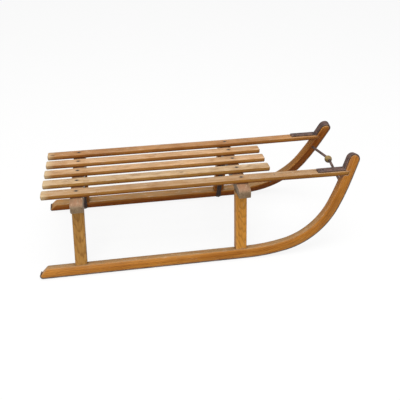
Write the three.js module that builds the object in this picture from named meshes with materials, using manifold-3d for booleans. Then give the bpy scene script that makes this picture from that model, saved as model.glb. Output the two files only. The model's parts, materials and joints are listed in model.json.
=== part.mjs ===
// A wooden runner sledge: two bent runners splayed under a seat of five slats, carried by two
// trestles, with steel shoes under the runners and a bowed rod with a loose bead between the horns.
// Millimetres. +X is forward, +Y is the sledge's left, +Z is up. The origin is on the ground, at the
// middle of the length and of the width.
import * as THREE from "three";
import { mergeVertices } from "three/addons/utils/BufferGeometryUtils.js";
import Module from "manifold-3d";

const wasm = await Module();
wasm.setup();

// Clearances
const FIT = 0.3; // between pieces that touch or seat in each other
const BEAD_PLAY = 0.6; // between the bead's bore and the rod, all round

// Seat
const SEAT_HEIGHT = 255.5; // ground to the top of the slats
const SLAT_WIDTH = 34.5;
const SLAT_THICKNESS = 14.5;
const SLAT_PITCH = 65; // centre to centre across the seat
const SLAT_EDGE = 3; // rounding along the slats' edges
const SLAT_CORNER = 5; // rounding of the slats' ends, seen from above
const SLAT_REAR = 103; // slats past the rear trestle
const INNER_SLAT_FRONT = 106; // inner slats past the front trestle
const SLAT_LAP = 13; // outer slats past the back of the horns

// Trestles
const TRESTLE_SPACING = 500;
const CROSSBAR_OVERHANG = 39.75; // crossbar past the edge of each outer slat
const CROSSBAR_WIDTH = 38;
const CROSSBAR_HEIGHT = 28;
const CROSSBAR_SHOULDER = 15; // rounding of the crossbars' upper ends
const CROSSBAR_EDGE = 2;
const POST_WIDTH = 36;
const POST_THICKNESS = 26;
const POST_EDGE = 3;
const POST_SETBACK = { rear: 0, front: 4 }; // top of a post behind the middle of its crossbar
const POST_RAKE = { rear: 10.5, front: 6 }; // lean of a post, back at the ground from its crossbar
const TENON_WIDTH = 22;
const TENON_THICKNESS = 14;
const TENON_LENGTH = 16;

// Runners
const SPLAY = THREE.MathUtils.degToRad(14.5); // lean of each runner and its posts, outward at the foot
const HORN_OUTSET = 5.8; // bend of each outer slat, out to its horn from the front trestle
const RUNNER_WIDTH = 30;
const RUNNER_DEPTH = 28.5;
const RUNNER_EDGE = 2.2;
const RUNNER_REAR = 131; // runner past the rear trestle
const BEND_START = 10; // start of the front bend past the front trestle
const FIRST_BENDS = [
  { radius: 620, turn: THREE.MathUtils.degToRad(12) },
  { radius: 255, turn: THREE.MathUtils.degToRad(49) },
];
const LAST_TURN = THREE.MathUtils.degToRad(7.8); // a third bend, as wide as the horns' height needs
const HORN_RISE = 29.5; // middle of each rounded horn tip above the seat
const HORN_LENGTH = 57; // straight top of each horn, below its rounded tip
const NOSE_SLANT = THREE.MathUtils.degToRad(45); // slope of the rear ends
const NOSE_TOE_RADIUS = 6;
const NOSE_TOP_RADIUS = 10;
const HOUSING_DEPTH = 3; // each side of a horn, for the cheeks of its slat

// Ironwork
const SHOE_WIDTH = 24;
const SHOE_THICKNESS = 3.5;
const SHOE_WEAR = 2; // height worn off the shoe's inner edge, which leaves a level face to stand on
const IRON_WIDTH = 23;
const IRON_THICKNESS = 4.5;
const IRON_EDGE = 1.5;
const IRON_ON_SLAT = 90; // horn iron along the slat, behind the horn
const IRON_ON_FRONT = 5; // horn iron down the front of the horn
const BRACE_WIDTH = 16;
const BRACE_THICKNESS = 4;
const BRACE_REACH = 45; // foot bend from the post, along the crossbar
const BRACE_FOOT = 32;
const BRACE_DROP = 75; // lower bend, down the post
const BRACE_BEND = 14;
const BRACE_CLEAR = 3; // lower end of a brace above the underside of its runner
const BRACE_SCREW_INSET = 13; // top screw from the end of the brace's foot
const IRON_SCREW_INSET = 18; // screw from the rear end of the horn iron
const SHOE_SCREW_REAR = 72; // shoe screw behind the rear trestle
const SHOE_SCREW_FRONT = 70; // shoe screw behind the front trestle

// Rod and bead
const ROD_RADIUS = 4.4;
const ROD_DROP = 34; // rod axis below the slats' underside, at the horns
const ROD_BOW = 17;
const ROD_BEND = 30;
const ROD_IN_HORN = 22; // depth of each end in its horn
const ROD_STRAIGHT = 7; // rod inside each horn's inner face before it turns up
const BEAD_RADIUS = 12.2;
const BEAD_LENGTH = 23;
const BEAD_WALL = 2.2; // flat ring at each end of the bead, round its bore
const BEAD_ROOM = 5; // straight rod past each end of the bead

// Screws
const COUNTERSUNK_HEAD = 4.4; // radius
const COUNTERSUNK_DEPTH = 3;
const COUNTERSUNK_RIM = 0.4; // height of the head's straight edge
const ROUND_HEAD = 4.4; // radius
const ROUND_HEIGHT = 2.4;
const SHANK = 1.9; // radius
const DRIVER_SLOT = 1.1;
const DRIVER_DEPTH = 0.9;
const HOLE_PROUD = 1; // a drilled hole's tool past the face that it starts from
const SLAT_SCREW = 26;
const SHOE_SCREW = 16;
const BRACE_SCREW = 15;
const IRON_SCREW = 14;

// Sampling of round shapes
const ARC_STEP = THREE.MathUtils.degToRad(3.5);
const SMALL_ARC_STEP = THREE.MathUtils.degToRad(20);
const SMALL_RADIUS = 60; // arcs under this take the coarser step
const EDGE_STEPS = 2;
const SCREW_SIDES = 12;
const HEAD_STEPS = 3; // up a round head
const ROD_SIDES = 10;
const ROD_STEPS = 40; // along the rod
const HOLE_SIDES = 16;
const BEAD_SIDES = 24;
const BEAD_STEPS = 10; // along the bead
const MERGE = 1e-3; // vertices nearer than this are one

// Heights and places that follow from the sizes above
const slatUnderside = SEAT_HEIGHT - SLAT_THICKNESS;
const crossbarTop = slatUnderside - FIT;
const crossbarUnderside = crossbarTop - CROSSBAR_HEIGHT;
const outerSlatY = 2 * SLAT_PITCH;
const crossbarHalf = outerSlatY + SLAT_WIDTH / 2 + CROSSBAR_OVERHANG;
const slatMiddle = SEAT_HEIGHT - SLAT_THICKNESS / 2;
// Runner planes where they meet the ground.
const halfTrack = outerSlatY + HORN_OUTSET + Math.tan(SPLAY) * slatMiddle;
// From here to runnerTop, heights in the runner's own leaning frame.
const shoeUnderside = (Math.tan(SPLAY) * SHOE_WIDTH) / 2 - SHOE_WEAR / Math.cos(SPLAY);
const runnerUnderside = shoeUnderside + SHOE_THICKNESS + FIT;
const runnerTop = runnerUnderside + RUNNER_DEPTH;
const postInner = -RUNNER_WIDTH / 2;
const postMiddle = postInner + POST_THICKNESS / 2;
const trestles = { rear: 0, front: TRESTLE_SPACING };
const farAway = 4 * TRESTLE_SPACING; // size of a cutting block that passes everything

const wood = (color, roughness) => new THREE.MeshStandardMaterial({ color, roughness, metalness: 0 });
const metal = (color, roughness) => new THREE.MeshStandardMaterial({ color, roughness, metalness: 0.9 });
const materials = {
  slat: wood(0xc9a27a, 0.6),
  runner: wood(0xb07c38, 0.55),
  post: wood(0xa97c3f, 0.6),
  crossbar: wood(0xa38c72, 0.7),
  bead: wood(0xa48a55, 0.6),
  iron: metal(0x4a3b38, 0.65),
  shoe: metal(0x5a4c46, 0.5),
  screw: metal(0x3c302d, 0.5),
};

// The frame: a left side that is made once and mirrored, and what crosses the middle.
const sledge = new THREE.Group();
const middle = new THREE.Group();
const leftSide = new THREE.Group();
const leaning = new THREE.Group();
sledge.add(middle, leftSide);
leftSide.add(leaning);
leaning.position.y = halfTrack;
leaning.rotation.x = SPLAY;

function place(parent, name, geometry, material, position = [0, 0, 0]) {
  const mesh = new THREE.Mesh(geometry, material);
  mesh.name = name;
  mesh.position.set(...position);
  parent.add(mesh);
  return mesh;
}

// Booleans between placed meshes, each worked out in the first one's own frame.
function solidOf(mesh, frame) {
  const flat = mesh.geometry.index ? mesh.geometry.toNonIndexed() : mesh.geometry.clone();
  const bare = new THREE.BufferGeometry().setAttribute("position", flat.getAttribute("position"));
  frame.updateWorldMatrix(true, false);
  mesh.updateWorldMatrix(true, false);
  const matrix = frame.matrixWorld.clone().invert().multiply(mesh.matrixWorld);
  bare.applyMatrix4(matrix);
  const merged = mergeVertices(bare, MERGE);
  const triVerts = new Uint32Array(merged.index.array);
  if (matrix.determinant() < 0) triVerts.reverse();
  return new wasm.Manifold(
    new wasm.Mesh({
      numProp: 3,
      vertProperties: merged.attributes.position.array,
      triVerts,
    }),
  );
}

function setSolid(mesh, solid) {
  const made = solid.getMesh();
  mesh.geometry = new THREE.BufferGeometry()
    .setAttribute("position", new THREE.BufferAttribute(made.vertProperties, 3))
    .setIndex(new THREE.BufferAttribute(made.triVerts, 1));
}

function carve(mesh, cutters) {
  let solid = solidOf(mesh, mesh);
  for (const cutter of cutters) solid = solid.subtract(solidOf(cutter, mesh));
  setSolid(mesh, solid);
}

function weld(mesh, others) {
  let solid = solidOf(mesh, mesh);
  for (const other of others) solid = solid.add(solidOf(other, mesh));
  setSolid(mesh, solid);
}

// A tool is a placed mesh that only cuts: it has a parent for its frame, but isn't its child.
function tool(parent, geometry, position = [0, 0, 0]) {
  const mesh = new THREE.Mesh(geometry);
  const holder = new THREE.Group();
  parent.updateWorldMatrix(true, false);
  holder.applyMatrix4(parent.matrixWorld);
  holder.add(mesh);
  mesh.position.set(...position);
  return mesh;
}

// The same tool on the sledge's other side.
function mirrored(mesh) {
  const mirror = new THREE.Group();
  mirror.scale.y = -1;
  mirror.add(mesh.parent.clone());
  return mirror.children[0].children[0];
}

// Paths in a plane: points with the heading there, through straight runs and arcs. An arc bends to
// the left where its turn is positive.
const line = (length) => ({ length });
const arc = (radius, turn) => ({ radius, turn });

function trace(start, heading, runs) {
  const points = [{ x: start.x, y: start.y, heading }];
  const step = (length, direction, after) => {
    const last = points.at(-1);
    const x = last.x + length * Math.cos(direction);
    const y = last.y + length * Math.sin(direction);
    points.push({ x, y, heading: after });
  };
  for (const run of runs) {
    const from = points.at(-1).heading;
    if (run.radius === undefined) {
      step(run.length, from, from);
      continue;
    }
    const widest = run.radius < SMALL_RADIUS ? SMALL_ARC_STEP : ARC_STEP;
    const count = Math.ceil(Math.abs(run.turn) / widest);
    const turn = run.turn / count;
    for (let i = 1; i <= count; i++) {
      step(2 * run.radius * Math.sin(Math.abs(turn) / 2), from + (i - 0.5) * turn, from + i * turn);
    }
  }
  return points;
}

// The path moved sideways, to its left when the distance is positive.
const offset = (path, distance) =>
  path.map(({ x, y, heading }) => ({
    x: x - distance * Math.sin(heading),
    y: y + distance * Math.cos(heading),
    heading,
  }));

// A strip to the right of a path, from one distance to another.
const strip = (path, near, far) => [...offset(path, -far), ...offset(path, -near).reverse()];

// The runs of a path through some corners, each rounded to the same radius.
function roundedRuns(corners, radius) {
  const runs = [];
  const legs = corners.slice(1).map((corner, i) => corner.clone().sub(corners[i]));
  let used = 0;
  legs.forEach((leg, i) => {
    const next = legs[i + 1];
    const turn = next ? Math.atan2(leg.cross(next), leg.dot(next)) : 0;
    const tangent = radius * Math.tan(Math.abs(turn) / 2);
    runs.push(line(leg.length() - used - tangent));
    if (next) runs.push(arc(radius, turn));
    used = tangent;
  });
  return { start: corners[0], heading: legs[0].angle(), runs };
}

const shapeOf = (points) => new THREE.Shape(points.map(({ x, y }) => new THREE.Vector2(x, y)));

// An outline given a thickness about its plane, with its edges rounded to a radius.
function board(outline, thickness, edge) {
  const geometry = new THREE.ExtrudeGeometry(shapeOf(outline), {
    depth: thickness - 2 * edge,
    bevelEnabled: edge > 0,
    bevelThickness: edge,
    bevelSize: edge,
    bevelOffset: -edge,
    bevelSegments: EDGE_STEPS,
  });
  return geometry.translate(0, 0, edge - thickness / 2);
}

// Boards drawn looking along the sledge's width, along its length or down on it.
const X = new THREE.Vector3(1, 0, 0);
const Y = new THREE.Vector3(0, 1, 0);
const Z = new THREE.Vector3(0, 0, 1);
const standing = (geometry) =>
  geometry.applyMatrix4(new THREE.Matrix4().makeBasis(X, Z, Y.clone().negate()));
const across = (geometry) => geometry.applyMatrix4(new THREE.Matrix4().makeBasis(Y, Z, X));

const rectangle = (x0, y0, x1, y1) => [
  { x: x0, y: y0 },
  { x: x1, y: y0 },
  { x: x1, y: y1 },
  { x: x0, y: y1 },
];

// The bends of a runner, the last with the radius that brings the horns to their height.
const rise = ({ radius, turn }, before) => radius * (Math.cos(before) - Math.cos(before + turn));
const firstTurn = FIRST_BENDS.reduce((sum, bend) => sum + bend.turn, 0);
const hornLean = firstTurn + LAST_TURN;

function lastBend() {
  let height = runnerUnderside;
  let before = 0;
  for (const bend of FIRST_BENDS) {
    height += rise(bend, before);
    before += bend.turn;
  }
  height += HORN_LENGTH * Math.sin(hornLean) + (RUNNER_DEPTH / 2) * Math.cos(hornLean);
  const missing = (SEAT_HEIGHT + HORN_RISE) / Math.cos(SPLAY) - height;
  return { radius: missing / rise({ radius: 1, turn: LAST_TURN }, firstTurn), turn: LAST_TURN };
}
const bends = [...FIRST_BENDS, lastBend()];

// Side outline of a runner: nose, underside, horn tip and back, counterclockwise.
function runnerPaths() {
  const belowTopArc = RUNNER_DEPTH - NOSE_TOP_RADIUS * (1 - Math.cos(NOSE_SLANT));
  const slantHeight = belowTopArc - NOSE_TOE_RADIUS * (1 + Math.cos(NOSE_SLANT));
  const noseRuns = [
    arc(NOSE_TOP_RADIUS, NOSE_SLANT),
    line(slantHeight / Math.sin(NOSE_SLANT)),
    arc(NOSE_TOE_RADIUS, Math.PI - NOSE_SLANT),
  ];
  const drawn = trace({ x: 0, y: runnerTop }, Math.PI, noseRuns);
  const rearmost = Math.min(...drawn.map((point) => point.x));
  const nose = trace({ x: -RUNNER_REAR - rearmost, y: runnerTop }, Math.PI, noseRuns);
  const toe = { x: nose.at(-1).x, y: runnerUnderside };
  const underside = trace(toe, 0, [
    line(TRESTLE_SPACING + BEND_START - toe.x),
    ...bends.map((bend) => arc(bend.radius, bend.turn)),
    line(HORN_LENGTH - IRON_ON_FRONT),
  ]);
  const split = underside.at(-1);
  const tip = trace(split, split.heading, [line(IRON_ON_FRONT), arc(RUNNER_DEPTH / 2, Math.PI)]);
  return { nose, underside, tip, length: [...underside, tip[1]] };
}

const paths = runnerPaths();
const toeStart = Math.ceil(NOSE_SLANT / SMALL_ARC_STEP) + 1; // in the nose's path, below its slant

// The outline, or the outline of the room that a runner takes up with a clearance round it.
function runnerOutline(room) {
  const lower = [...paths.nose, ...paths.underside.slice(1), ...paths.tip.slice(1)];
  const back = offset(paths.length, RUNNER_DEPTH + room).reverse();
  return [...offset(lower, -room), ...back.slice(1, -1)];
}

// Where a path reaches a height, along its rising front part.
function xAtHeight(path, height) {
  const i = path.findIndex((point) => point.y >= height);
  const [low, high] = [path[i - 1], path[i]];
  return THREE.MathUtils.mapLinear(height, low.y, high.y, low.x, high.x);
}

const hornBack = offset(paths.length, RUNNER_DEPTH);
const hornMiddle = offset(paths.length, RUNNER_DEPTH / 2);
const slatFront = xAtHeight(hornBack, slatMiddle / Math.cos(SPLAY)) + SLAT_LAP;

// Screws, each with Y out of the wood and zero at the face that its head seats on.
function turned(profile) {
  const points = profile.map(([radius, height]) => new THREE.Vector2(radius, height));
  return new THREE.LatheGeometry(points, SCREW_SIDES);
}

function slotted(geometry, headTop) {
  const screw = new THREE.Mesh(geometry);
  const acrossHead = 3 * Math.max(COUNTERSUNK_HEAD, ROUND_HEAD);
  const slot = new THREE.Mesh(new THREE.BoxGeometry(acrossHead, 2 * DRIVER_DEPTH, DRIVER_SLOT));
  slot.position.y = headTop;
  carve(screw, [slot]);
  return screw.geometry;
}

const countersunk = (length, grow) =>
  turned([
    [0, -length - grow],
    [SHANK + grow, -length - grow],
    [SHANK + grow, -COUNTERSUNK_DEPTH - grow],
    [COUNTERSUNK_HEAD + grow, -COUNTERSUNK_RIM - grow],
    [COUNTERSUNK_HEAD + grow, grow],
    [0, grow],
  ]);

function roundHeaded(length) {
  const dome = Array.from({ length: HEAD_STEPS }, (_, i) => {
    const angle = ((Math.PI / 2) * i) / HEAD_STEPS;
    return [ROUND_HEAD * Math.cos(angle), FIT + ROUND_HEIGHT * Math.sin(angle)];
  });
  return turned([[0, -length], [SHANK, -length], [SHANK, FIT], ...dome, [0, FIT + ROUND_HEIGHT]]);
}

const pilotHole = (length) =>
  turned([
    [0, -length - FIT],
    [SHANK + FIT, -length - FIT],
    [SHANK + FIT, HOLE_PROUD],
    [0, HOLE_PROUD],
  ]);

// A screw and the tool for its hole, seated at a point with its head facing out.
function addScrew(parent, name, kind, length, seat, out) {
  const round = kind === "round";
  const body = round
    ? slotted(roundHeaded(length), FIT + ROUND_HEIGHT)
    : slotted(countersunk(length, 0), 0);
  const screw = place(parent, name, body, materials.screw, seat);
  screw.quaternion.setFromUnitVectors(Y, new THREE.Vector3(...out).normalize());
  const hole = tool(parent, round ? pilotHole(length) : countersunk(length, FIT), seat);
  hole.quaternion.copy(screw.quaternion);
  return hole;
}

// Runners, with mortises for the posts and housings for the outer slats' cheeks.
const runner = place(
  leaning,
  "runner_left",
  standing(board(runnerOutline(0), RUNNER_WIDTH, RUNNER_EDGE)),
  materials.runner,
);
const neckWidth = RUNNER_WIDTH - 2 * HOUSING_DEPTH;
const neck = tool(leaning, standing(board(runnerOutline(0), neckWidth, 0)));
const neckRoom = tool(leaning, standing(board(runnerOutline(FIT), neckWidth + 2 * FIT, 0)));
const ironRoom = tool(leaning, standing(board(runnerOutline(FIT), 2 * RUNNER_WIDTH, 0)));

// Shoe under each runner, turned up round its toe and worn level where it stands on the ground.
const ground = new THREE.BoxGeometry(farAway, farAway, SEAT_HEIGHT);
const groundTool = tool(middle, ground, [0, 0, -SEAT_HEIGHT / 2]);
const shoePath = [...paths.nose.slice(toeStart), ...paths.underside.slice(1)];
const shoe = place(
  leaning,
  "runner_shoe_left",
  standing(board(strip(shoePath, FIT, FIT + SHOE_THICKNESS), SHOE_WIDTH, 0)),
  materials.shoe,
);
carve(shoe, [groundTool]);

// Slats, straight or bent out past the front trestle by an outset at their front ends.
function slatGeometry(rear, front, outset) {
  const half = SLAT_WIDTH / 2;
  const bentAt = (side) => (outset === 0 ? [] : [new THREE.Vector2(TRESTLE_SPACING, side)]);
  const corners = [
    new THREE.Vector2((rear + TRESTLE_SPACING) / 2, -half),
    ...bentAt(-half),
    new THREE.Vector2(front, outset - half),
    new THREE.Vector2(front, outset + half),
    ...bentAt(half),
    new THREE.Vector2(rear, half),
    new THREE.Vector2(rear, -half),
    new THREE.Vector2((rear + TRESTLE_SPACING) / 2, -half),
  ];
  const { start, heading, runs } = roundedRuns(corners, SLAT_CORNER);
  return board(trace(start, heading, runs).slice(1), SLAT_THICKNESS, SLAT_EDGE);
}

const innerFront = TRESTLE_SPACING + INNER_SLAT_FRONT;
const outerSlat = place(
  leftSide,
  "slat_outer_left",
  slatGeometry(-SLAT_REAR, slatFront, HORN_OUTSET),
  materials.slat,
  [0, outerSlatY, slatMiddle],
);
const innerSlat = place(
  leftSide,
  "slat_inner_left",
  slatGeometry(-SLAT_REAR, innerFront, 0),
  materials.slat,
  [0, SLAT_PITCH, slatMiddle],
);
const middleSlat = place(
  middle,
  "slat_middle",
  slatGeometry(-SLAT_REAR, innerFront, 0),
  materials.slat,
  [0, 0, slatMiddle],
);

// Crossbars, with the upper ends rounded off.
function crossbarGeometry() {
  const corners = [
    { x: -crossbarHalf, y: crossbarUnderside },
    { x: crossbarHalf, y: crossbarUnderside },
  ];
  const shoulder = [arc(CROSSBAR_SHOULDER, Math.PI / 2)];
  const up = trace({ x: crossbarHalf, y: crossbarTop - CROSSBAR_SHOULDER }, Math.PI / 2, shoulder);
  const down = trace({ x: CROSSBAR_SHOULDER - crossbarHalf, y: crossbarTop }, Math.PI, shoulder);
  return across(board([...corners, ...up, ...down], CROSSBAR_WIDTH, CROSSBAR_EDGE));
}

// A place across the sledge as a point of the leaning frame, and the height there that lies level
// at z for a point that is v out from the runner's middle.
const leaningPoint = (y, z) =>
  new THREE.Vector2(y - halfTrack, z).rotateAround(new THREE.Vector2(0, 0), -SPLAY);
const heightUnder = (v, z) => (z - v * Math.sin(SPLAY)) / Math.cos(SPLAY);

// A post stands on its runner and is cut level under the crossbar, with a tenon at each end.
function postGeometry() {
  const outer = postInner + POST_THICKNESS;
  const top = crossbarUnderside - FIT;
  const outline = [
    { x: postInner, y: runnerTop + FIT },
    { x: outer, y: runnerTop + FIT },
    { x: outer, y: heightUnder(outer, top) },
    { x: postInner, y: heightUnder(postInner, top) },
  ];
  return across(board(outline, POST_WIDTH, POST_EDGE));
}

const tenonTop = heightUnder(postMiddle, crossbarUnderside) + TENON_LENGTH;
const tenonBottom = runnerTop - TENON_LENGTH;
function tenonGeometry(room) {
  const height = tenonTop - tenonBottom + 2 * room;
  return new THREE.BoxGeometry(TENON_WIDTH + 2 * room, TENON_THICKNESS + 2 * room, height);
}
const tenonMiddle = (tenonTop + tenonBottom) / 2;

// Takes a shape, drawn upright in the leaning frame at a trestle's middle, to its place there: it
// rakes back below the crossbar, with what is level in it left level.
function rakeOf(end) {
  const slope = POST_RAKE[end] / crossbarUnderside;
  const start = trestles[end] - POST_SETBACK[end] - POST_RAKE[end];
  const [perV, perU] = [slope * Math.sin(SPLAY), slope * Math.cos(SPLAY)];
  return new THREE.Matrix4().set(1, perV, perU, start, 0, 1, 0, 0, 0, 0, 1, 0, 0, 0, 0, 1);
}
const tenonTool = (end, room) =>
  tool(leaning, tenonGeometry(room).translate(0, postMiddle, tenonMiddle).applyMatrix4(rakeOf(end)));

// A brace runs under the crossbar, slants to the post and follows it down over the runner.
const braceAway = FIT + BRACE_THICKNESS / 2; // middle of the brace off the wood
const braceTop = crossbarUnderside - braceAway;
const braceSide = postInner - braceAway;
const postFootY = halfTrack + (postInner - crossbarUnderside * Math.sin(SPLAY)) / Math.cos(SPLAY);
const braceCorners = [
  leaningPoint(postFootY - BRACE_REACH - BRACE_FOOT, braceTop),
  leaningPoint(postFootY - BRACE_REACH, braceTop),
  new THREE.Vector2(braceSide, heightUnder(postInner, crossbarUnderside) - BRACE_DROP),
  new THREE.Vector2(braceSide, runnerUnderside + BRACE_CLEAR),
];

function braceGeometry() {
  const { start, heading, runs } = roundedRuns(braceCorners, BRACE_BEND);
  const band = strip(trace(start, heading, runs), -BRACE_THICKNESS / 2, BRACE_THICKNESS / 2);
  return across(board(band, BRACE_WIDTH, 0));
}

const crossbars = {};
const posts = {};
const braces = {};
for (const [end, x] of Object.entries(trestles)) {
  crossbars[end] = place(middle, `${end}_crossbar`, crossbarGeometry(), materials.crossbar, [x, 0, 0]);
  const rake = rakeOf(end);
  const post = place(leaning, `${end}_post_left`, postGeometry().applyMatrix4(rake), materials.post);
  weld(post, [tenonTool(end, 0)]);
  posts[end] = post;
  const brace = braceGeometry().applyMatrix4(rake);
  braces[end] = place(leaning, `${end}_brace_left`, brace, materials.iron);
}
const mortises = Object.keys(trestles).map((end) => tenonTool(end, FIT));

// Horn iron: one strip from the front of the horn over its tip, down its back and along the slat.
const ironStart = trace(paths.underside.at(-1), paths.underside.at(-1).heading, [line(2 * FIT)]);
const ironPath = trace(ironStart.at(-1), ironStart.at(-1).heading, [
  line(IRON_ON_FRONT - 2 * FIT),
  arc(RUNNER_DEPTH / 2, Math.PI),
  line(HORN_LENGTH),
]);
const ironBand = board(strip(ironPath, FIT, FIT + IRON_THICKNESS), IRON_WIDTH, IRON_EDGE);
const hornIron = place(leaning, "horn_iron_left", standing(ironBand), materials.iron);
const hornBackAtSeat = xAtHeight(hornBack, SEAT_HEIGHT / Math.cos(SPLAY));
const slatIronOutline = rectangle(
  hornBackAtSeat - IRON_ON_SLAT,
  SEAT_HEIGHT + FIT,
  slatFront,
  SEAT_HEIGHT + FIT + IRON_THICKNESS,
);
const slatIron = tool(leftSide, standing(board(slatIronOutline, IRON_WIDTH, IRON_EDGE)), [
  0,
  outerSlatY + HORN_OUTSET,
  0,
]);
const slatSpace = new THREE.BoxGeometry(farAway, farAway, SEAT_HEIGHT);
const belowSeat = tool(middle, slatSpace, [slatFront - farAway / 2, 0, SEAT_HEIGHT / 2 + FIT]);
weld(hornIron, [slatIron]);
carve(hornIron, [ironRoom, belowSeat]);

// Rod between the horns, bowed up along them, with its ends blind in the wood.
const rodHeight = slatUnderside - ROD_DROP;
const rodX = xAtHeight(hornMiddle, rodHeight / Math.cos(SPLAY));
const hornFaceY = halfTrack - Math.tan(SPLAY) * rodHeight - RUNNER_WIDTH / 2 / Math.cos(SPLAY);
const beadHeight = rodHeight + ROD_BOW * Math.sin(hornLean);
const beadX = rodX + ROD_BOW * Math.cos(hornLean);
const straightHalf = BEAD_LENGTH / 2 + BEAD_ROOM;

function rodGeometry() {
  const ends = [
    new THREE.Vector2(hornFaceY + ROD_IN_HORN, 0),
    new THREE.Vector2(hornFaceY - ROD_STRAIGHT, 0),
    new THREE.Vector2(straightHalf, ROD_BOW),
  ];
  const otherEnds = ends.map(({ x, y }) => new THREE.Vector2(-x, y)).reverse();
  const { start, heading, runs } = roundedRuns([...ends, ...otherEnds], ROD_BEND);
  const points = trace(start, heading, runs).map(({ x, y }) => new THREE.Vector3(x, y, 0));
  const path = new THREE.CurvePath();
  points.slice(1).forEach((point, i) => path.add(new THREE.LineCurve3(points[i], point)));
  const circle = new THREE.EllipseCurve(0, 0, ROD_RADIUS, ROD_RADIUS).getPoints(ROD_SIDES);
  return new THREE.ExtrudeGeometry(new THREE.Shape(circle), { steps: ROD_STEPS, extrudePath: path });
}

const rod = place(middle, "front_rod", rodGeometry(), materials.iron, [rodX, 0, rodHeight]);
rod.quaternion.setFromRotationMatrix(
  new THREE.Matrix4().makeBasis(
    Y,
    new THREE.Vector3(Math.cos(hornLean), 0, Math.sin(hornLean)),
    new THREE.Vector3(Math.sin(hornLean), 0, -Math.cos(hornLean)),
  ),
);
const holeRadius = ROD_RADIUS + FIT;
const holeLength = ROD_IN_HORN + FIT + ROD_STRAIGHT;
const rodHole = new THREE.CylinderGeometry(holeRadius, holeRadius, holeLength, HOLE_SIDES);
const rodHoleY = hornFaceY + (ROD_IN_HORN + FIT - ROD_STRAIGHT) / 2;
const rodSocket = tool(leftSide, rodHole, [rodX, rodHoleY, rodHeight]);

// Bead, turned as a ball with flat ends and a bore that is loose on the rod.
function beadGeometry() {
  const bore = ROD_RADIUS + BEAD_PLAY;
  const half = BEAD_LENGTH / 2;
  const limit = Math.acos((bore + BEAD_WALL) / BEAD_RADIUS);
  const stretch = half / Math.sin(limit);
  const profile = Array.from({ length: BEAD_STEPS + 1 }, (_, i) => {
    const angle = THREE.MathUtils.lerp(-limit, limit, i / BEAD_STEPS);
    return new THREE.Vector2(BEAD_RADIUS * Math.cos(angle), stretch * Math.sin(angle));
  });
  profile.unshift(new THREE.Vector2(bore, -half));
  profile.push(new THREE.Vector2(bore, half), new THREE.Vector2(bore, -half));
  return new THREE.LatheGeometry(profile, BEAD_SIDES);
}
place(middle, "rod_bead", beadGeometry(), materials.bead, [beadX, 0, beadHeight]);

// Fasteners
const slatScrews = [];
for (const [end, x] of Object.entries(trestles)) {
  const seat = (y) => [x, y, SEAT_HEIGHT];
  const up = [0, 0, 1];
  slatScrews.push(
    addScrew(middle, `${end}_slat_screw_middle`, "flat", SLAT_SCREW, seat(0), up),
    addScrew(leftSide, `${end}_slat_screw_inner_left`, "flat", SLAT_SCREW, seat(SLAT_PITCH), up),
    addScrew(leftSide, `${end}_slat_screw_outer_left`, "flat", SLAT_SCREW, seat(outerSlatY), up),
  );
}

const braceScrews = [];
const inward = [0, -1, 0];
for (const [end, x] of Object.entries(trestles)) {
  const under = crossbarUnderside - FIT - BRACE_THICKNESS;
  const footY = postFootY - BRACE_REACH - BRACE_FOOT + BRACE_SCREW_INSET;
  const side = postInner - FIT - BRACE_THICKNESS;
  const postZ = (braceCorners[2].y + runnerTop) / 2;
  const runnerZ = runnerUnderside + (RUNNER_DEPTH - TENON_LENGTH) / 2;
  const top = [x - POST_SETBACK[end], footY, under];
  const onPost = new THREE.Vector3(0, side, postZ).applyMatrix4(rakeOf(end)).toArray();
  const onRunner = new THREE.Vector3(0, side, runnerZ).applyMatrix4(rakeOf(end)).toArray();
  braceScrews.push(
    addScrew(leftSide, `${end}_brace_top_screw_left`, "round", BRACE_SCREW, top, [0, 0, -1]),
    addScrew(leaning, `${end}_brace_post_screw_left`, "round", BRACE_SCREW, onPost, inward),
    addScrew(leaning, `${end}_brace_foot_screw_left`, "round", BRACE_SCREW, onRunner, inward),
  );
}

const shoeScrewPlaces = { rear: -SHOE_SCREW_REAR, front: TRESTLE_SPACING - SHOE_SCREW_FRONT };
const shoeBottom = runnerUnderside - FIT - SHOE_THICKNESS;
const shoeScrews = Object.entries(shoeScrewPlaces).map(([end, x]) =>
  addScrew(leaning, `${end}_shoe_screw_left`, "flat", SHOE_SCREW, [x, 0, shoeBottom], [0, 0, -1]),
);

const ironTop = SEAT_HEIGHT + FIT + IRON_THICKNESS;
const ironScrews = [
  addScrew(
    leftSide,
    "slat_iron_screw_left",
    "flat",
    IRON_SCREW,
    [hornBackAtSeat - IRON_ON_SLAT + IRON_SCREW_INSET, outerSlatY + HORN_OUTSET, ironTop],
    [0, 0, 1],
  ),
];

// Every hole, mortise and housing is cut by what goes into it.
const slatRoom = slatGeometry(-SLAT_REAR, slatFront + FIT, HORN_OUTSET);
slatRoom.scale(1, 1 + (2 * FIT) / SLAT_WIDTH, 1 + (2 * FIT) / SLAT_THICKNESS);
const cheeks = tool(leftSide, slatRoom, [0, outerSlatY, slatMiddle]);
carve(cheeks, [neck]);
carve(runner, [cheeks, rodSocket, ...mortises, ...braceScrews, ...shoeScrews]);
carve(outerSlat, [neckRoom, ...slatScrews, ...ironScrews]);
carve(innerSlat, slatScrews);
carve(middleSlat, slatScrews);
carve(shoe, shoeScrews);
carve(hornIron, ironScrews);
const inCrossbars = [...slatScrews, ...braceScrews, ...mortises];
for (const end of Object.keys(trestles)) {
  carve(posts[end], braceScrews);
  carve(braces[end], braceScrews);
  carve(crossbars[end], [...inCrossbars, ...inCrossbars.map(mirrored)]);
}

// The right side is the left one mirrored.
const rightSide = leftSide.clone();
rightSide.scale.y = -1;
rightSide.traverse((object) => {
  object.name = object.name.replace("_left", "_right");
});
sledge.add(rightSide);

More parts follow.
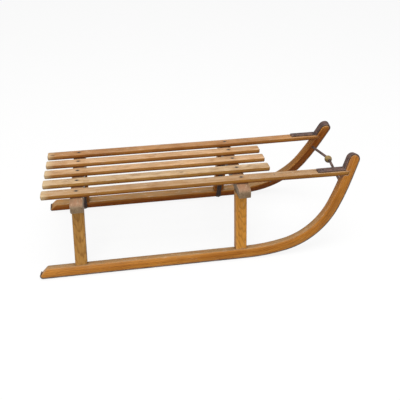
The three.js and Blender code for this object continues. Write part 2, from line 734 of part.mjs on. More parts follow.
// Until here x was counted from the rear trestle; the origin goes to the middle of the length.
const extent = new THREE.Box3().setFromObject(sledge);
sledge.position.x = -(extent.min.x + extent.max.x) / 2;

export default sledge;
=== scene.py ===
import json
import math
import random

import bmesh
import bpy
from mathutils import Matrix, Vector
from mathutils.bvhtree import BVHTree

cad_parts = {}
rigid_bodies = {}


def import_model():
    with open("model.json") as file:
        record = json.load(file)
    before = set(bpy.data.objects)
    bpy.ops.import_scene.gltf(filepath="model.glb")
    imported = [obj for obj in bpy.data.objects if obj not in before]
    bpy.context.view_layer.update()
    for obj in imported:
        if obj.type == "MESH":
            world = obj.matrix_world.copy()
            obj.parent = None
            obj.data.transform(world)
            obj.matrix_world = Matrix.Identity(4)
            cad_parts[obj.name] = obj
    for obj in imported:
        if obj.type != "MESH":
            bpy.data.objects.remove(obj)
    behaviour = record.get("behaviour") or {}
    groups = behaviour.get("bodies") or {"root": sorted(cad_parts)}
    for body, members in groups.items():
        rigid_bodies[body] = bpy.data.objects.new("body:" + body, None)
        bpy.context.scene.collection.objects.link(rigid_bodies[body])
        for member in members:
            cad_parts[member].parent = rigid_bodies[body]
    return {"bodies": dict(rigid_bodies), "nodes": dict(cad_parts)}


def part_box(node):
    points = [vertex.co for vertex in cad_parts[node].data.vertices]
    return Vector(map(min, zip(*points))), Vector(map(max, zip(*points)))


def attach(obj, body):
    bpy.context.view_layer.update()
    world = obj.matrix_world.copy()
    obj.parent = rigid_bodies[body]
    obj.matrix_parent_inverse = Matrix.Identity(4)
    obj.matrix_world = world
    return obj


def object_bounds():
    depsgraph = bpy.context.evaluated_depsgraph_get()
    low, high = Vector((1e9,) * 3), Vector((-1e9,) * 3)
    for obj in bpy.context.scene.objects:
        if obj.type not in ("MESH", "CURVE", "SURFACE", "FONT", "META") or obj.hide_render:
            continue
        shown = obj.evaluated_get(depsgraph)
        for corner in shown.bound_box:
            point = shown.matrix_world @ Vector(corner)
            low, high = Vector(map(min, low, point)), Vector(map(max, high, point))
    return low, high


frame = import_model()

random.seed(7)

# What the file opens with besides the frame goes first, so that the box is the frame's own.
kept = set(frame["nodes"].values()) | set(frame["bodies"].values())
for thing in list(bpy.data.objects):
    if thing not in kept:
        bpy.data.objects.remove(thing)
bpy.context.view_layer.update()
cad_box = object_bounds()


def middle(node):
    low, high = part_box(node)
    return (low + high) / 2


# Sizes that the grain and the marks follow
SPLAY = math.radians(14.5)  # lean of the runners and posts
HORN_OUTSET = 0.0058  # bend of each outer slat, out to its horn
SHOE_DEPTH = 0.0049  # from the ground to a runner's wood, in its leaning frame
BEND_START = 0.010  # start of the front bend past the front trestle
# Radius and turn of each bend of a runner, from the rear forward
BENDS = ((0.62, math.radians(12)), (0.255, math.radians(49)), (0.747, math.radians(7.8)))
SLAT_PITCH = 0.065
SEAT_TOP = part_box("slat_middle")[1].z
REAR_TRESTLE = middle("rear_crossbar").x
FRONT_TRESTLE = middle("front_crossbar").x
SLAT_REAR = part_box("slat_middle")[0].x
OUTER_SLAT_Y = 2 * SLAT_PITCH
HALF_TRACK = OUTER_SLAT_Y + HORN_OUTSET + math.tan(SPLAY) * middle("slat_middle").z


def srgb(code):
    """A linear colour from a hex code."""
    parts = [int(code[i : i + 2], 16) / 255 for i in (0, 2, 4)]
    return tuple(p / 12.92 if p <= 0.04045 else ((p + 0.055) / 1.055) ** 2.4 for p in parts) + (1.0,)


# Samples taken for edges, which are worn and carry a painted highlight, and for the painted shade in the
# corners
BEVEL_SAMPLES = 6
CREVICE_SAMPLES = 8
WHITE = (1, 1, 1, 1)

# The colour sockets of a Mix node, which come after those for numbers and vectors
MIX_A = 6
MIX_B = 7
MIX_RESULT = 2


class Shader:
    """A material's nodes, written as short calls that return output sockets."""

    def __init__(self, name):
        self.material = bpy.data.materials.new(name)
        self.material.use_nodes = True
        self.tree = self.material.node_tree
        self.tree.nodes.clear()

    def node(self, kind, inputs=(), **settings):
        made = self.tree.nodes.new(kind)
        for key, value in settings.items():
            setattr(made, key, value)
        for key, value in dict(inputs).items():
            self.feed(made.inputs[key], value)
        return made

    def feed(self, socket, value):
        if isinstance(value, bpy.types.NodeSocket):
            self.tree.links.new(value, socket)
        else:
            socket.default_value = value

    def math(self, operation, a, b=0.0, c=0.0):
        return self.node("ShaderNodeMath", {0: a, 1: b, 2: c}, operation=operation).outputs[0]

    def ramp(self, value, low, high, start=0.0, end=1.0):
        """The value eased from start to end as it goes from low to high."""
        sockets = {"Value": value, "From Min": low, "From Max": high, "To Min": start, "To Max": end}
        made = self.node("ShaderNodeMapRange", sockets, interpolation_type="SMOOTHSTEP")
        return made.outputs["Result"]

    def mix(self, share, a, b, blend="MIX"):
        made = self.node("ShaderNodeMix", {"Factor": share}, data_type="RGBA", blend_type=blend)
        self.feed(made.inputs[MIX_A], a)
        self.feed(made.inputs[MIX_B], b)
        return made.outputs[MIX_RESULT]

    def split(self, vector):
        return self.node("ShaderNodeSeparateXYZ", {0: vector}).outputs[:3]

    def join(self, x, y, z):
        return self.node("ShaderNodeCombineXYZ", {0: x, 1: y, 2: z}).outputs[0]

    def stretched(self, vector, scales, offset):
        moved = self.node("ShaderNodeVectorMath", {0: vector, 1: offset}, operation="ADD").outputs[0]
        return self.node("ShaderNodeVectorMath", {0: moved, 1: scales}, operation="MULTIPLY").outputs[0]

    def noise(self, vector, scale=1.0, detail=3.0, roughness=0.55):
        sockets = {"Vector": vector, "Scale": scale, "Detail": detail, "Roughness": roughness}
        return self.node("ShaderNodeTexNoise", sockets).outputs["Fac"]

    def place(self):
        return self.node("ShaderNodeTexCoord").outputs["Object"]

    def normal(self):
        return self.node("ShaderNodeNewGeometry").outputs["Normal"]

    def upward(self, low, high):
        return self.ramp(self.split(self.normal())[2], low, high)

    def edges(self, radius):
        """Near 1 on an edge, where wear and a painted highlight go, and 0 on a flat face."""
        soft = self.node("ShaderNodeBevel", {"Radius": radius}, samples=BEVEL_SAMPLES).outputs[0]
        sharp = self.node("ShaderNodeNewGeometry").outputs["True Normal"]
        dot = self.node("ShaderNodeVectorMath", {0: soft, 1: sharp}, operation="DOT_PRODUCT")
        return self.ramp(dot.outputs["Value"], 0.995, 0.90)

    def crevices(self, distance):
        """Near 1 where another surface is close, and 0 in the open."""
        made = self.node("ShaderNodeAmbientOcclusion", {"Distance": distance}, samples=CREVICE_SAMPLES)
        return self.ramp(made.outputs["AO"], 0.85, 0.25)

    def bump(self, height, strength, distance, under=None):
        sockets = {"Height": height, "Strength": strength, "Distance": distance}
        if under is not None:
            sockets["Normal"] = under
        return self.node("ShaderNodeBump", sockets).outputs[0]

    def finish(self, **inputs):
        surface = self.node("ShaderNodeBsdfPrincipled")
        for key, value in inputs.items():
            self.feed(surface.inputs[key.replace("_", " ")], value)
        self.node("ShaderNodeOutputMaterial", {"Surface": surface.outputs[0]})
        return self.material


# Grain coordinates: x along the fibres, y and z across them.
def along_x(shader):
    return shader.place()


def along_y(shader):
    x, y, z = shader.split(shader.place())
    return shader.join(y, x, z)


def leaning(shader):
    """x forward, v out across a runner and u up along its lean."""
    x, y, z = shader.split(shader.place())
    out = shader.math("SUBTRACT", shader.math("ABSOLUTE", y), HALF_TRACK)
    v = shader.math("MULTIPLY_ADD", out, math.cos(SPLAY), shader.math("MULTIPLY", z, math.sin(SPLAY)))
    u = shader.math("MULTIPLY_ADD", out, -math.sin(SPLAY), shader.math("MULTIPLY", z, math.cos(SPLAY)))
    return x, v, u


def along_post(shader):
    x, v, u = leaning(shader)
    return shader.join(u, x, v)


def along_runner(shader):
    """The runner unbent: a point in a bend takes its place round the bend's own centre."""
    x, v, u = leaning(shader)
    along = x
    depth = shader.math("SUBTRACT", u, SHOE_DEPTH)
    reached = FRONT_TRESTLE + BEND_START
    centre_x = reached
    centre_u = SHOE_DEPTH
    before = 0.0
    last_radius = 0.0
    for radius, turn in BENDS:
        centre_x -= (radius - last_radius) * math.sin(before)
        centre_u += (radius - last_radius) * math.cos(before)
        dx = shader.math("SUBTRACT", x, centre_x)
        du = shader.math("SUBTRACT", centre_u, u)
        angle = shader.math("ARCTAN2", dx, du)
        square = shader.math("MULTIPLY_ADD", dx, dx, shader.math("MULTIPLY", du, du))
        bent = shader.math("GREATER_THAN", angle, before)
        here = shader.math("MULTIPLY_ADD", angle, radius, reached - radius * before)
        deep = shader.math("SUBTRACT", radius, shader.math("SQRT", square))
        step = shader.math("MULTIPLY", bent, shader.math("SUBTRACT", here, along))
        sink = shader.math("MULTIPLY", bent, shader.math("SUBTRACT", deep, depth))
        along = shader.math("ADD", along, step)
        depth = shader.math("ADD", depth, sink)
        reached += radius * turn
        before += turn
        last_radius = radius
    return shader.join(along, v, depth)


# How finely the marks in wood run, to the metre: along the fibres, then across them
WANDER = (9, 14, 14)
UNEVEN = (14, 60, 60)
STREAKS = (2.5, 150, 150)
FIBRES = (16, 800, 800)
PORES = (45, 2000, 2000)
TONES = (7, 22, 22)
BLOTCHES = (22, 60, 60)
SCUFFS = (35, 150, 150)
SPECKS = (110, 260, 260)
RUBS = (14, 50, 50)
DENTS = (30, 70, 70)

# How far the growth rings wander off their centre, and how unevenly they follow one another
RING_WANDER = 0.034
RING_UNEVEN = 2.6

# Colours that all the wood shares
# Ring and fibre colours for faces that look up, weathered and painted paler as top light
WEATHERED_TOP_LIT_RING = "93704f"
WEATHERED_TOP_LIT_FIBRE = "8c6d50"
OPEN_PORE = "4c2d14"
SCUFFED = "d2c0a8"
SPECK = "4a3018"
# Pale edges: rubbed wear, and a painted highlight along them
RUBBED_EDGE_HIGHLIGHT = "b9a893"
# Painted shade for the corners, where other surfaces are close
CORNER_SHADE = "321d0d"
PALE_END = "cfb78f"
KNOT = "35200f"

# How far the worn, painted-highlit edges and the painted shade in the corners reach, and the depths of
# the grain and dents
WOOD_EDGE = 0.0026
WOOD_CREVICE = 0.012
GRAIN_DEPTH = 0.0004
DENT_DEPTH = 0.0016
WOOD_SPECULAR = 0.24

# The pale wood at the slats' rear ends starts this far in, and is at its palest this close to them
PALE_REACH = 0.030
PALE_FULLY = 0.002


def wood(name, grain, look, pith, ring_pitch, dive, spots=(), seat=False):
    """Old varnished wood, warm where the varnish holds, greyed by weathering and painted paler as top
    light where it faces up, and painted darker as shade where it faces down.

    pith is where the centre of the growth rings runs, across the grain, and dive how fast it sinks
    along the grain, which draws the rings out into arches. spots are the knots and stains on the
    seat, each a place, length, width and strength.
    """
    shader = Shader(name)
    shift = tuple(random.uniform(-5, 5) for _ in range(3))
    place = grain(shader)
    x, y, z = shader.split(place)

    # Growth rings, which wander a little along the grain.
    wander = shader.noise(shader.stretched(place, WANDER, shift))
    off_centre = shader.math("SUBTRACT", y, pith[0] + RING_WANDER / 2)
    ring_y = shader.math("MULTIPLY_ADD", wander, RING_WANDER, off_centre)
    sink = shader.math("MULTIPLY", x, dive)
    ring_z = shader.math("SUBTRACT", shader.math("SUBTRACT", z, pith[1]), sink)
    square = shader.math("MULTIPLY_ADD", ring_y, ring_y, shader.math("MULTIPLY", ring_z, ring_z))
    count = shader.math("DIVIDE", shader.math("SQRT", square), ring_pitch)
    uneven = shader.noise(shader.stretched(place, UNEVEN, shift))
    phase = shader.math("FRACT", shader.math("MULTIPLY_ADD", uneven, RING_UNEVEN, count))
    late = shader.math("MULTIPLY", shader.ramp(phase, 0.40, 0.92), shader.ramp(phase, 1.0, 0.93))

    # Streaks, fibres and pores along the grain, and slow changes of tone.
    streak = shader.noise(shader.stretched(place, STREAKS, shift), 1.0, 4.0, 0.6)
    fibre = shader.noise(shader.stretched(place, FIBRES, shift), 1.0, 3.0, 0.65)
    pores = shader.noise(shader.stretched(place, PORES, shift), 1.0, 2.0)
    pore = shader.ramp(pores, 0.60, 0.70)
    tone = shader.noise(shader.stretched(place, TONES, shift), 1.0, 4.0, 0.6)
    blotch = shader.noise(shader.stretched(place, BLOTCHES, shift), 1.0, 4.0, 0.65)

    # Faces that look up are paler: the varnish is worn off there in patches, and top light is painted
    # onto them too.
    upward = shader.upward(0.30, 0.90)
    patchy = shader.ramp(blotch, 0.30, 0.58)
    weathered_top_lit = shader.math("MULTIPLY", upward, shader.math("MULTIPLY_ADD", patchy, 0.5, 0.5))
    mixed = shader.math("MULTIPLY_ADD", tone, 0.7, shader.math("MULTIPLY", streak, 0.5))
    blend = shader.ramp(mixed, 0.42, 0.78)
    warm = shader.mix(blend, srgb(look["light"]), srgb(look["dark"]))
    bare = shader.mix(blend, srgb(look["bare"]), srgb(look["bare_dark"]))
    colour = shader.mix(weathered_top_lit, warm, bare)

    strong = shader.ramp(streak, 0.25, 0.65, 0.25, 0.70)
    rings = shader.math("MULTIPLY", late, shader.math("MULTIPLY_ADD", weathered_top_lit, -0.20, strong))
    colour = shader.mix(rings, colour, shader.mix(weathered_top_lit, srgb(look["ring"]), srgb(WEATHERED_TOP_LIT_RING)))
    thread = shader.ramp(fibre, 0.38, 0.70, 0.0, 0.34)
    colour = shader.mix(thread, colour, shader.mix(weathered_top_lit, srgb(look["ring"]), srgb(WEATHERED_TOP_LIT_FIBRE)))
    colour = shader.mix(shader.math("MULTIPLY", pore, 0.32), colour, srgb(OPEN_PORE))

    # Faces turned to the ground are painted darker, as painted shade under the light from above.
    downward = shader.ramp(shader.split(shader.normal())[2], -0.02, -0.22)
    shade = shader.math("MULTIPLY", downward, 0.80)
    colour = shader.mix(shade, colour, srgb(look["under"]), "MULTIPLY")

    # Scuffs, rubbed edges with a painted highlight, dark specks, and painted shade in the corners.
    scuffs = shader.noise(shader.stretched(place, SCUFFS, shift), 1.0, 5.0, 0.7)
    scuff = shader.ramp(scuffs, 0.57, 0.68)
    pale = shader.math("MULTIPLY", scuff, shader.math("MULTIPLY_ADD", upward, 0.36, 0.14))
    colour = shader.mix(pale, colour, srgb(SCUFFED))
    specks = shader.noise(shader.stretched(place, SPECKS, shift), 1.0, 2.0)
    colour = shader.mix(shader.ramp(specks, 0.70, 0.76, 0.0, 0.55), colour, srgb(SPECK))
    rubs = shader.noise(shader.stretched(place, RUBS, shift))
    rubbed_highlit_patches = shader.ramp(rubs, 0.34, 0.60)
    rubbed_and_highlit = shader.math("MULTIPLY_ADD", rubbed_highlit_patches, 0.46, 0.16)
    # Edges painted paler: rubbed wear, and a painted highlight.
    edge = shader.math("MULTIPLY", shader.edges(WOOD_EDGE), rubbed_and_highlit)
    colour = shader.mix(edge, colour, srgb(RUBBED_EDGE_HIGHLIGHT))
    # Painted shade where another surface is close.
    corner_shade = shader.math("MULTIPLY", shader.crevices(WOOD_CREVICE), 0.62)
    colour = shader.mix(corner_shade, colour, srgb(CORNER_SHADE))

    if seat:
        # Pale wood at the slats' rear ends, where less of the varnish is left.
        back = shader.ramp(x, SLAT_REAR + PALE_REACH, SLAT_REAR + PALE_FULLY)
        gone = shader.math("MULTIPLY", back, shader.math("MULTIPLY_ADD", patchy, 0.45, 0.30))
        colour = shader.mix(gone, colour, srgb(PALE_END))

    # Knots and stains, each an ellipse that lies along the fibres.
    for (spot_x, spot_y), length, width, strength in spots:
        dx = shader.math("DIVIDE", shader.math("SUBTRACT", x, spot_x), length)
        dy = shader.math("DIVIDE", shader.math("SUBTRACT", y, spot_y), width)
        reach = shader.math("SQRT", shader.math("MULTIPLY_ADD", dx, dx, shader.math("MULTIPLY", dy, dy)))
        ragged = shader.math("MULTIPLY_ADD", fibre, 0.5, shader.math("ADD", reach, -0.25))
        mark = shader.math("MULTIPLY", shader.ramp(ragged, 1.0, 0.25), strength)
        colour = shader.mix(mark, colour, srgb(KNOT))

    relief = shader.math("MULTIPLY_ADD", late, -0.35, shader.math("MULTIPLY", fibre, 0.6))
    grooves = shader.bump(relief, 0.40, GRAIN_DEPTH)
    dents = shader.noise(shader.stretched(place, DENTS, shift))
    normal = shader.bump(dents, 0.35, DENT_DEPTH, grooves)
    gloss = shader.math("MULTIPLY_ADD", weathered_top_lit, 0.16, shader.math("MULTIPLY_ADD", streak, 0.30, 0.28))
    dull = shader.math("MULTIPLY_ADD", downward, 0.25, gloss)
    rough = shader.math("MULTIPLY_ADD", scuff, 0.12, dull)
    return shader.finish(
        Base_Color=colour, Roughness=rough, Normal=normal, Specular_IOR_Level=WOOD_SPECULAR
    )


# How finely iron's clouds, pits and grit run, to the metre
CLOUDS = 55.0
PITS = 420.0
GRIT = 1500.0
# Pale edges of the iron: rubbed wear, and a painted highlight along them
IRON_RUBBED_EDGE_HIGHLIGHT = "a39b93"
# Painted shade for the iron's corners
IRON_CORNER_SHADE = "1d1310"
IRON_EDGE = 0.0012
IRON_CREVICE = 0.006
PIT_DEPTH = 0.0007
GRIT_DEPTH = 0.0002


def iron(name, light, dark, rust, metallic, roughness, scale=1.0):
    """Hand-worked iron under dark scale, with rust in its pits, rubbed edges with a painted highlight,
    and painted shade where other surfaces are close.
    """
    shader = Shader(name)
    shift = tuple(random.uniform(-5, 5) for _ in range(3))
    place = shader.stretched(shader.place(), (scale, scale, scale), shift)
    cloud = shader.noise(place, CLOUDS, 4.0, 0.6)
    pits = shader.noise(place, PITS, 4.0, 0.65)
    grit = shader.noise(place, GRIT, 2.0)
    colour = shader.mix(shader.ramp(cloud, 0.34, 0.66), srgb(dark), srgb(light))
    rusty = shader.math("MULTIPLY", shader.ramp(pits, 0.42, 0.62), shader.ramp(cloud, 0.38, 0.60))
    colour = shader.mix(shader.math("MULTIPLY", rusty, 0.75), colour, srgb(rust))
    # Edges painted paler: rubbed wear, and a painted highlight.
    rubbed_and_highlit = shader.math("MULTIPLY", shader.edges(IRON_EDGE), shader.ramp(cloud, 0.30, 0.55, 0.25, 0.75))
    colour = shader.mix(rubbed_and_highlit, colour, srgb(IRON_RUBBED_EDGE_HIGHLIGHT))
    # Painted shade where another surface is close.
    corner_shade = shader.math("MULTIPLY", shader.crevices(IRON_CREVICE), 0.6)
    colour = shader.mix(corner_shade, colour, srgb(IRON_CORNER_SHADE))
    # Rust dulls the metal; where there is no shine to dull, the plain value stands.
    shine = shader.math("MULTIPLY_ADD", rusty, -0.5 * metallic, metallic) if metallic else metallic
    rough = shader.math("MULTIPLY_ADD", rusty, 0.22, shader.math("MULTIPLY_ADD", pits, 0.25, roughness))
    lumps = shader.bump(pits, 0.45, PIT_DEPTH)
    normal = shader.bump(grit, 0.20, GRIT_DEPTH, lumps)
    return shader.finish(Base_Color=colour, Metallic=shine, Roughness=rough, Normal=normal)


# Smooth shading over the CAD solids, whose faces come in as loose triangles.
SMOOTH_BELOW = math.radians(38)
SAME_CORNER = 2e-6


def smoothing_group():
    group = bpy.data.node_groups.new("smooth_by_angle", "GeometryNodeTree")
    group.interface.new_socket("Geometry", in_out="INPUT", socket_type="NodeSocketGeometry")
    group.interface.new_socket("Geometry", in_out="OUTPUT", socket_type="NodeSocketGeometry")
    add = group.nodes.new
    link = group.links.new
    start = add("NodeGroupInput")
    merge = add("GeometryNodeMergeByDistance")
    merge.inputs["Distance"].default_value = SAME_CORNER
    forget = add("GeometryNodeRemoveAttribute")
    forget.inputs["Name"].default_value = "custom_normal"
    faces = add("GeometryNodeSetShadeSmooth")
    edges = add("GeometryNodeSetShadeSmooth")
    edges.domain = "EDGE"
    edges.inputs["Shade Smooth"].default_value = False
    angle = add("GeometryNodeInputMeshEdgeAngle")
    compare = add("FunctionNodeCompare")
    compare.operation = "GREATER_THAN"
    compare.inputs["B"].default_value = SMOOTH_BELOW
    end = add("NodeGroupOutput")
    link(start.outputs[0], merge.inputs["Geometry"])
    link(merge.outputs[0], forget.inputs["Geometry"])
    link(forget.outputs[0], faces.inputs["Geometry"])
    link(faces.outputs[0], edges.inputs["Geometry"])
    link(angle.outputs["Unsigned Angle"], compare.inputs["A"])
    link(compare.outputs[0], edges.inputs["Selection"])
    link(edges.outputs[0], end.inputs[0])
    return group


smooth = smoothing_group()


def dress(node, material):
    piece = frame["nodes"][node]
    piece.data.materials.clear()
    piece.data.materials.append(material)
    piece.modifiers.new("smooth", "NODES").node_group = smooth


# Wood of each kind: light and dark where varnished, the same where bare on faces that look up and
# painted paler there as top light, the growth rings, and the painted shade of faces turned to the
# ground.
def look(light, dark, bare, bare_dark, ring, under="c9a070"):
    named = {"light": light, "dark": dark, "bare": bare, "bare_dark": bare_dark}
    return {**named, "ring": ring, "under": under}


# Distance from one growth ring to the next, and how fast a straight-grained piece's rings sink
SLAT_RINGS = 0.0042
RUNNER_RINGS = 0.0040
POST_RINGS = 0.0042
CROSSBAR_RINGS = 0.0034
BEAD_RINGS = 0.0035
SLIGHT_DIVE = 0.02

# Slats, with a stain round each screw and the knots: each knot's place along the sledge and across
# from its slat's middle line, then its length, width and strength.
SCREW_STAIN = (0.011, 0.0068, 0.75)
SLAT_PLACES = {"outer_left": 2, "inner_left": 1, "middle": 0, "inner_right": -1, "outer_right": -2}
KNOTS = {
    "outer_right": (((-0.040, 0.015), 0.013, 0.0050, 0.75),),
    "inner_right": (((-0.049, -0.003), 0.010, 0.0040, 0.70), ((0.168, 0.002), 0.012, 0.0035, 0.45)),
    "outer_left": (((-0.458, -0.009), 0.012, 0.0045, 0.75),),
    "inner_left": (((-0.120, 0.005), 0.009, 0.0030, 0.40),),
}
SLAT_LOOKS = {
    "outer_left": look("b0742f", "8d5520", "c08f5f", "a37143", "74430f"),
    "inner_left": look("ba823f", "9a642b", "d8b087", "c0966b", "83501b"),
    "middle": look("b8823f", "9b662c", "dab289", "c19a70", "84521e"),
    "inner_right": look("b78844", "98692f", "d3b58f", "b99b75", "80541f"),
    "outer_right": look("b58036", "935f24", "bf9d78", "a5825c", "7a4a17"),
}
for slat, step in SLAT_PLACES.items():
    y = step * SLAT_PITCH
    stains = [((x, y), *SCREW_STAIN) for x in (REAR_TRESTLE, FRONT_TRESTLE)]
    marks = [((x, y + across), *rest) for (x, across), *rest in KNOTS.get(slat, ())]
    pith = (y + random.uniform(-0.02, 0.02), SEAT_TOP - random.uniform(0.03, 0.07))
    dive = random.uniform(-0.06, 0.06)
    kind = SLAT_LOOKS[slat]
    made = wood(f"slat_{slat}_wood", along_x, kind, pith, SLAT_RINGS, dive, stains + marks, True)
    dress(f"slat_{slat}", made)

# Runners, posts, crossbars and the bead on the rod
RUNNER_LOOK = look("d48d35", "ad691f", "b8905f", "9b7648", "7c4710", "c79a3c")
POST_LOOKS = {
    "rear": look("c8954e", "a87836", "b69b7b", "9a7c58", "82551f", "bd923f"),
    "front": look("de9b40", "bd7c2a", "b69b7b", "9a7c58", "955f1d", "bd923f"),
}
CROSSBAR_LOOK = look("a08a6d", "7b664e", "a87f63", "8d684b", "5f4128", "a98560")
BEAD_LOOK = look("a88c52", "735e30", "ae955e", "836c3b", "523e1a")
for side in ("left", "right"):
    pith = (random.uniform(0.03, 0.05), random.uniform(-0.06, -0.03))
    name = f"runner_{side}_wood"
    made = wood(name, along_runner, RUNNER_LOOK, pith, RUNNER_RINGS, SLIGHT_DIVE)
    dress(f"runner_{side}", made)
    for end, x in (("rear", REAR_TRESTLE), ("front", FRONT_TRESTLE)):
        pith = (x + random.uniform(-0.006, 0.004), random.uniform(-0.050, -0.038))
        dive = random.uniform(0.10, 0.17)
        made = wood(f"{end}_post_{side}_wood", along_post, POST_LOOKS[end], pith, POST_RINGS, dive)
        dress(f"{end}_post_{side}", made)
for end, x in (("rear", REAR_TRESTLE), ("front", FRONT_TRESTLE)):
    pith = (x + random.uniform(-0.02, 0.02), random.uniform(0.17, 0.19))
    name = f"{end}_crossbar_wood"
    made = wood(name, along_y, CROSSBAR_LOOK, pith, CROSSBAR_RINGS, SLIGHT_DIVE)
    dress(f"{end}_crossbar", made)
bead_pith = (middle("rod_bead").x + 0.008, middle("rod_bead").z - 0.02)
dress("rod_bead", wood("bead_wood", along_y, BEAD_LOOK, bead_pith, BEAD_RINGS, 0.0))

# Ironwork: the light, dark and rusty colours, then how metallic and how rough it is
dark_iron = iron("dark_iron", "745c54", "402d29", "63402f", 0.25, 0.45)
brace_iron = iron("brace_iron", "38241d", "1b0f0b", "3d2115", 0.0, 0.62)
shoe_steel = iron("shoe_steel", "857a70", "574a42", "6b432b", 0.75, 0.34, 0.6)
screw_steel = iron("screw_steel", "4a3a32", "241a16", "4f2f1f", 0.60, 0.42, 2.0)
for side in ("left", "right"):
    dress(f"horn_iron_{side}", dark_iron)
    dress(f"runner_shoe_{side}", shoe_steel)
    for end in ("rear", "front"):
        dress(f"{end}_brace_{side}", brace_iron)
dress("front_rod", dark_iron)
for node in frame["nodes"]:
    if "screw" in node:
        dress(node, screw_steel)

# Soft edges on the braces and the shoes, which the CAD leaves square.
SOFT_EDGE = 0.0006
SOFT_ABOVE = math.radians(50)
for node, piece in frame["nodes"].items():
    if node.endswith(("brace_left", "brace_right", "shoe_left", "shoe_right")):
        bevel = piece.modifiers.new("edge", "BEVEL")
        bevel.width = SOFT_EDGE
        bevel.segments = 2
        bevel.limit_method = "ANGLE"
        bevel.angle_limit = SOFT_ABOVE


# Nails, driven against the surface that they hold.
def surface_of(node):
    piece = frame["nodes"][node]
    corners = [v.co.copy() for v in piece.data.vertices]
    return BVHTree.FromPolygons(corners, [tuple(p.vertices) for p in piece.data.polygons])


NAIL_ROUNDS = 5
NAIL_SIDES = 14
NAIL_FOOT_WIDTH = 0.9  # a nail's hidden foot against its rim
NAIL_FOOT_DEPTH = 0.2  # how far the foot goes under the surface, against the head's height


def nail(name, node, start, toward, size, material):
    """A hand-forged domed head, its size a radius and a height, where a look from start meets node."""
    radius, height = size
    spot, normal, _, _ = surface_of(node).ray_cast(Vector(start), Vector(toward).normalized())
    if normal.dot(Vector(toward)) > 0:
        normal.negate()
    mesh = bpy.data.meshes.new(name)
    body = bmesh.new()
    rings = []
    for i in range(NAIL_ROUNDS):
        angle = (math.pi / 2) * i / NAIL_ROUNDS
        out = radius * math.cos(angle)
        up = height * math.sin(angle)
        uneven = [out * random.uniform(0.95, 1.04) for _ in range(NAIL_SIDES)]
        ring = []
        for k, r in enumerate(uneven):
            turned = 2 * math.pi * k / NAIL_SIDES
            ring.append(body.verts.new((r * math.cos(turned), r * math.sin(turned), up)))
        rings.append(ring)
    foot = []
    for rim in rings[0]:
        x = rim.co.x * NAIL_FOOT_WIDTH
        y = rim.co.y * NAIL_FOOT_WIDTH
        foot.append(body.verts.new((x, y, -NAIL_FOOT_DEPTH * height)))
    crown = body.verts.new((0, 0, height))
    for lower, upper in zip([foot] + rings[:-1], rings):
        for k in range(NAIL_SIDES):
            after = (k + 1) % NAIL_SIDES
            body.faces.new((lower[k], lower[after], upper[after], upper[k]))
    for k in range(NAIL_SIDES):
        body.faces.new((rings[-1][k], rings[-1][(k + 1) % NAIL_SIDES], crown))
    body.faces.new(list(reversed(foot)))
    for face in body.faces:
        face.smooth = True
    turn = normal.to_track_quat("Z", "Y").to_matrix().to_4x4()
    body.transform(Matrix.Translation(spot) @ turn)
    body.to_mesh(mesh)
    body.free()
    piece = bpy.data.objects.new(name, mesh)
    bpy.context.collection.objects.link(piece)
    mesh.materials.append(material)
    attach(piece, "sledge")


# Each kind of nail's radius and height
IRON_NAIL = (0.0032, 0.0013)
RUNNER_NAIL = (0.0036, 0.0014)
SLAT_NAIL = (0.0022, 0.0006)
# A look for a nail on a horn starts at a share of its iron's height over the seat, plus a lift, and
# goes forward and down.
HORN_NAIL_SHARES = (0.30, 0.62)
HORN_NAIL_LIFT = 0.020
TOWARD_HORN = (1, 0, -0.38)
STRIP_NAIL_BACK = 0.085  # from the horn iron's front end back to the nail on its strip
LOOK_DOWN_FROM = 0.050  # height that a look down at a slat or a strip starts at
RUNNER_NAIL_X = 0.318
RUNNER_NAIL_Z = 0.055
SLAT_NAIL_X = 0.232
SLAT_NAIL_OUT = 0.004  # out from the slat's middle line
DOWN = (0, 0, -1)
for side, sign in (("left", 1), ("right", -1)):
    horn = f"horn_iron_{side}"
    low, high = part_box(horn)
    # Two nails down the back of each horn, and one on the strip that lies along the slat.
    for i, share in enumerate(HORN_NAIL_SHARES):
        z = SEAT_TOP + share * (high.z - SEAT_TOP)
        y = sign * (HALF_TRACK - math.tan(SPLAY) * z)
        start = (low.x, y, z + HORN_NAIL_LIFT)
        nail(f"{horn}_nail_{i}", horn, start, TOWARD_HORN, IRON_NAIL, screw_steel)
    start = (high.x - STRIP_NAIL_BACK, sign * OUTER_SLAT_Y, high.z + LOOK_DOWN_FROM)
    nail(f"{horn}_nail_2", horn, start, DOWN, IRON_NAIL, screw_steel)
    # The bright nail on the inner face of each runner's bend.
    runner = f"runner_{side}"
    start = (RUNNER_NAIL_X, 0, RUNNER_NAIL_Z)
    nail(f"{runner}_nail", runner, start, (0, sign, 0), RUNNER_NAIL, shoe_steel)
# The small nail in the right outer slat.
start = (SLAT_NAIL_X, -OUTER_SLAT_Y - SLAT_NAIL_OUT, SEAT_TOP + LOOK_DOWN_FROM)
nail("slat_nail", "slat_outer_right", start, DOWN, SLAT_NAIL, screw_steel)


# Floor, world and lights
FLOOR_WHITE = 0.86  # how much of the floor is plain white; the rest takes the object's shadow
FLOOR_PALE = ("f4f4f4", "f8f8f8")
FLOOR_BOUNCE = "4a443c"
FLOOR_CLOUDS = 9.0


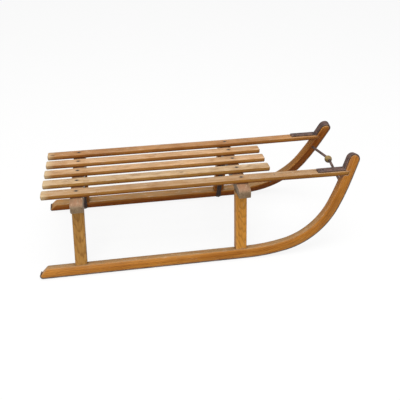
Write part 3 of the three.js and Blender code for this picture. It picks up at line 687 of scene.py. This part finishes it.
def floor_material():
    """White where it is looked at, under the object's own soft shadow, and darker as a bounce."""
    shader = Shader("floor")
    seen = shader.node("ShaderNodeLightPath")
    looked = shader.math("MAXIMUM", seen.outputs["Is Camera Ray"], seen.outputs["Is Glossy Ray"])
    looked = shader.math("MAXIMUM", looked, seen.outputs["Is Transmission Ray"])
    cloud = shader.noise(shader.place(), FLOOR_CLOUDS, 2.0)
    pale = shader.mix(cloud, *map(srgb, FLOOR_PALE))
    lit = shader.node("ShaderNodeBsdfDiffuse", {"Color": pale}).outputs[0]
    bounce = shader.node("ShaderNodeBsdfDiffuse", {"Color": srgb(FLOOR_BOUNCE)}).outputs[0]
    white = shader.node("ShaderNodeEmission", {"Color": WHITE, "Strength": 1.0}).outputs[0]
    clean = shader.node("ShaderNodeMixShader", {0: FLOOR_WHITE, 1: lit, 2: white}).outputs[0]
    whole = shader.node("ShaderNodeMixShader", {0: looked, 1: bounce, 2: clean}).outputs[0]
    shader.node("ShaderNodeOutputMaterial", {"Surface": whole})
    return shader.material


FLOOR_HALF = 12.0
floor_mesh = bpy.data.meshes.new("floor")
quarters = ((-1, -1), (1, -1), (1, 1), (-1, 1))
corners = [(x * FLOOR_HALF, y * FLOOR_HALF, cad_box[0].z) for x, y in quarters]
floor_mesh.from_pydata(corners, [], [(0, 1, 2, 3)])
floor = bpy.data.objects.new("floor", floor_mesh)
bpy.context.collection.objects.link(floor)
floor_mesh.materials.append(floor_material())

SKY = 0.60  # strength of the world's light on the object
world = bpy.data.worlds.new("studio")
bpy.context.scene.world = world
world.use_nodes = True
nodes = world.node_tree.nodes
nodes.clear()
path = nodes.new("ShaderNodeLightPath")
light = nodes.new("ShaderNodeBackground")
light.inputs["Color"].default_value = WHITE
light.inputs["Strength"].default_value = SKY
backdrop = nodes.new("ShaderNodeBackground")
backdrop.inputs["Color"].default_value = WHITE
choose = nodes.new("ShaderNodeMixShader")
out = nodes.new("ShaderNodeOutputWorld")
join = world.node_tree.links.new
join(path.outputs["Is Camera Ray"], choose.inputs[0])
join(light.outputs[0], choose.inputs[1])
join(backdrop.outputs[0], choose.inputs[2])
join(choose.outputs[0], out.inputs[0])


def area_light(name, place, size, watts, colour=(1, 1, 1)):
    lamp = bpy.data.lights.new(name, "AREA")
    lamp.shape = "DISK"
    lamp.size = size
    lamp.energy = watts
    lamp.color = colour
    holder = bpy.data.objects.new(name, lamp)
    holder.location = place
    holder.rotation_euler = (Vector(AIM) - Vector(place)).to_track_quat("-Z", "Y").to_euler()
    bpy.context.collection.objects.link(holder)


# Both lamps aim at the sledge's middle. Each has its place, its width and its power in watts.
AIM = (0, 0, 0.1)
OVERHEAD = ((0.1, -0.5, 3.2), 2.4, 58)
FRONT = ((-1.4, -3.2, 1.8), 1.8, 46)
FRONT_COLOUR = (1.0, 0.98, 0.95)
area_light("overhead", *OVERHEAD)
area_light("front", *FRONT, FRONT_COLOUR)

# Camera
CAMERA_PLACE = (-0.2194, -1.5251, 1.0449)
CAMERA_YAW = math.radians(-8.90)
CAMERA_PITCH = math.radians(-31.32)
CAMERA_ROLL = math.radians(0.45)
CAMERA_LENS = 47.76
CAMERA_SENSOR = 36
camera_data = bpy.data.cameras.new("camera")
camera_data.lens = CAMERA_LENS
camera_data.sensor_width = CAMERA_SENSOR
camera = bpy.data.objects.new("camera", camera_data)
camera.matrix_world = (
    Matrix.Translation(CAMERA_PLACE)
    @ Matrix.Rotation(CAMERA_YAW, 4, "Z")
    @ Matrix.Rotation(math.pi / 2 + CAMERA_PITCH, 4, "X")
    @ Matrix.Rotation(-CAMERA_ROLL, 4, "Z")
)
bpy.context.collection.objects.link(camera)
bpy.context.scene.camera = camera
bpy.context.scene.view_settings.view_transform = "Standard"

bpy.context.view_layer.update()
